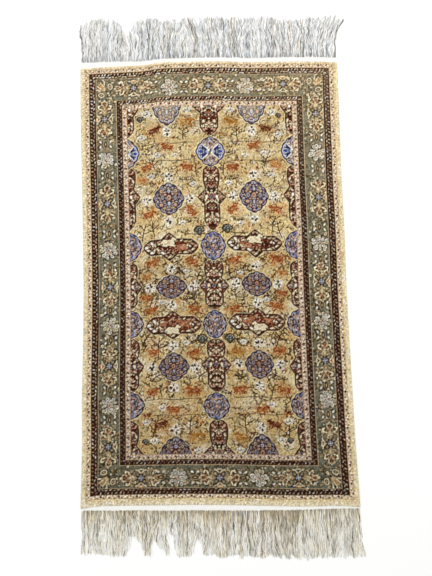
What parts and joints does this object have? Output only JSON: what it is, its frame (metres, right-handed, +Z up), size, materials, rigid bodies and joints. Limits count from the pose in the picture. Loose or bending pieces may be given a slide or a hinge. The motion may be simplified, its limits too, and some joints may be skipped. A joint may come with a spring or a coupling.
{
  "type": "silk rug",
  "caption": "Hand-knotted silk rug with a lattice of medallions, flowers and animals, a floral border and loose fringes at its ends, to lie flat on a floor.",
  "frame": {"origin": "on the floor under the middle of everything the rug covers, fringes included", "axes": "+X across the rug to the right as pictured, +Y along it towards the head end, +Z up out of the pile"},
  "size_m": [0.9538, 1.9108, 0.006],
  "materials": {
    "silk_pile": "short clipped silk pile with a soft sheen",
    "bare_warp": "undyed silk warp, flat-woven strip and loose ends"
  },
  "bodies": {
    "root": {"pile_body": "silk_pile", "fringe_head": "bare_warp", "fringe_foot": "bare_warp"}
  },
  "joints": []
}
